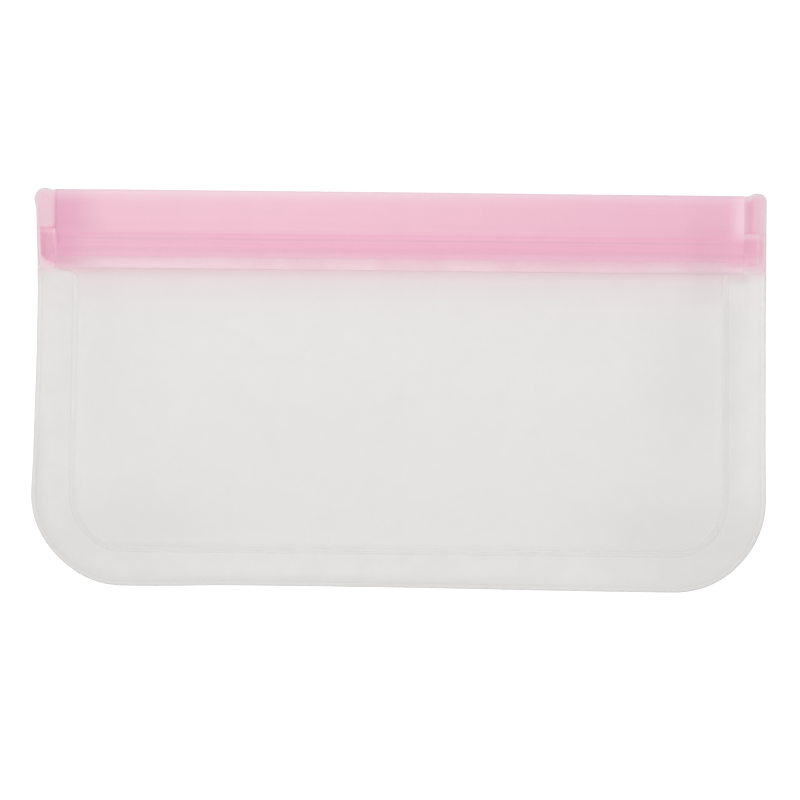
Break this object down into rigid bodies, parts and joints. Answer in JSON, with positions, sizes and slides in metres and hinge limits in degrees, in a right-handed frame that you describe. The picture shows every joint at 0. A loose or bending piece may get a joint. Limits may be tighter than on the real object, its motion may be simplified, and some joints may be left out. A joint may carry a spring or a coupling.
{
  "type": "reusable storage bag",
  "caption": "Flat reusable storage bag of frosted film with a wide pressed border, rounded base corners and an extruded press-to-close zip along the top.",
  "frame": {"origin": "middle of the bag's outline on the surface that its back lies on", "axes": "+X along the zip to the bag's right seen from the front, +Y from the base to the zip, +Z out of the front wall"},
  "size_m": [0.22, 0.119, 0.0071],
  "materials": {
    "film": "frosted translucent film, soft sheen",
    "film_weld": "frosted film fused over pink, pale",
    "border": "two fused films, frosted, a little clearer at the pressed lines",
    "zip": "translucent pink extrusion, satin",
    "lip_end": "pressed pink plastic, pale, satin",
    "track_end": "crushed and melted pink plastic, deeper colour, satin"
  },
  "bodies": {
    "back_wall": {"back_film": "film", "back_film_weld": "film_weld", "back_zip_strip": "zip", "weld_border": "border", "edge_rim": "border", "pocket_seam": "border", "left_lip_weld": "lip_end", "right_lip_weld": "lip_end", "left_track_weld": "track_end", "right_track_weld": "track_end"},
    "front_wall": {"front_film": "film", "front_film_weld": "film_weld", "front_zip_strip": "zip"}
  },
  "joints": [
    {"name": "mouth_open", "type": "hinge", "parent": "back_wall", "child": "front_wall", "pos_m": [0, -0.04725, 0.0007], "axis": [1, 0, 0], "range_deg": [0, 15]}
  ]
}
